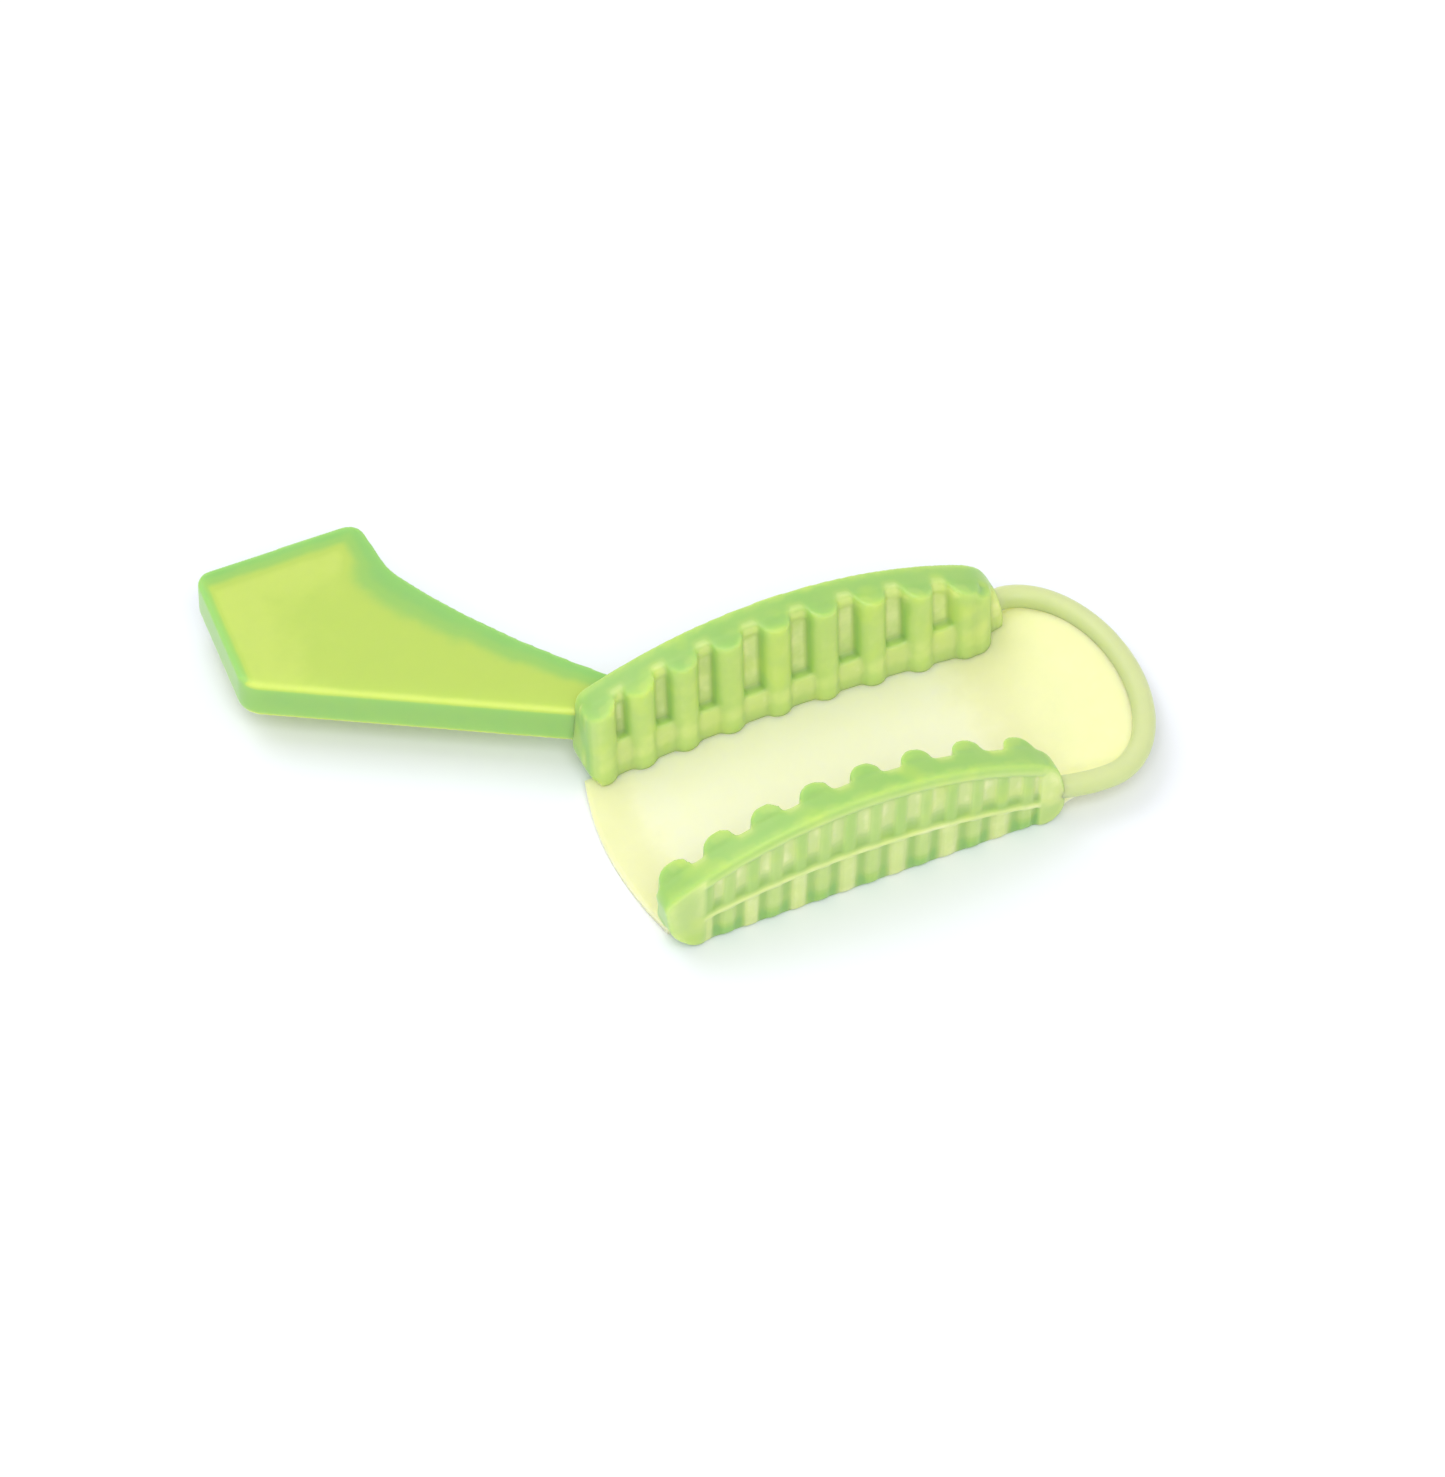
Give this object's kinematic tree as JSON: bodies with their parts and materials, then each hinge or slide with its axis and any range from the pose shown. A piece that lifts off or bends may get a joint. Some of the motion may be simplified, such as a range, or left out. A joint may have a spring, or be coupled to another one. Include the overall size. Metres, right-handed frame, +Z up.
{
  "type": "finger toothbrush",
  "caption": "Soft open trough that slips onto a fingertip, with gripping ribs inside, scrubbing ridges outside, a tip bead and a flat pull tab.",
  "frame": {"origin": "on the resting plane, midway between the two side walls, below the rear grip ribs", "axes": "+X from the open rear of the trough towards the fingertip, +Y to the left wall, +Z up, out of the open top"},
  "size_m": [0.0851, 0.0605, 0.0152],
  "materials": {
    "green_wall": "translucent lime green thermoplastic elastomer, soft satin",
    "pale_yellow_membrane": "thin translucent pale yellow-green elastomer, satin",
    "lime_bead": "translucent pale lime elastomer, satin",
    "lime_tab": "translucent yellow-green elastomer, deeper green at its edges, satin"
  },
  "bodies": {
    "root": {"floor_membrane": "pale_yellow_membrane", "tip_bead": "lime_bead", "left_base_rail": "green_wall", "right_base_rail": "green_wall", "left_rail_ridges": "green_wall", "right_rail_ridges": "green_wall"},
    "left_side_wall": {"left_wall": "green_wall", "left_wall_ridges": "green_wall", "tab_neck": "lime_tab", "left_grip_rib_1": "green_wall", "left_grip_rib_2": "green_wall", "left_grip_rib_3": "green_wall", "left_grip_rib_4": "green_wall", "left_grip_rib_5": "green_wall", "left_grip_rib_6": "green_wall", "left_grip_rib_7": "green_wall", "left_grip_rib_8": "green_wall", "left_grip_rib_9": "green_wall"},
    "right_side_wall": {"right_wall": "green_wall", "right_wall_ridges": "green_wall", "right_grip_rib_1": "green_wall", "right_grip_rib_2": "green_wall", "right_grip_rib_3": "green_wall", "right_grip_rib_4": "green_wall", "right_grip_rib_5": "green_wall", "right_grip_rib_6": "green_wall", "right_grip_rib_7": "green_wall", "right_grip_rib_8": "green_wall"},
    "tab_blade": {"pull_tab": "lime_tab"}
  },
  "joints": [
    {"name": "left_wall_splay", "type": "hinge", "parent": "root", "child": "left_side_wall", "pos_m": [0, 0.01255, 0.00415], "axis": [-1, 0, 0], "range_deg": [-3, 14], "stiffness_Nm_per_rad": 0.15},
    {"name": "right_wall_splay", "type": "hinge", "parent": "root", "child": "right_side_wall", "pos_m": [0, -0.01255, 0.00415], "axis": [1, 0, 0], "range_deg": [-3, 14], "stiffness_Nm_per_rad": 0.15},
    {"name": "tab_bend", "type": "hinge", "parent": "left_side_wall", "child": "tab_blade", "pos_m": [0.00178, 0.01668, 0.00665], "axis": [0.7133, 0.7009, 0], "range_deg": [-50, 65], "stiffness_Nm_per_rad": 0.04}
  ]
}
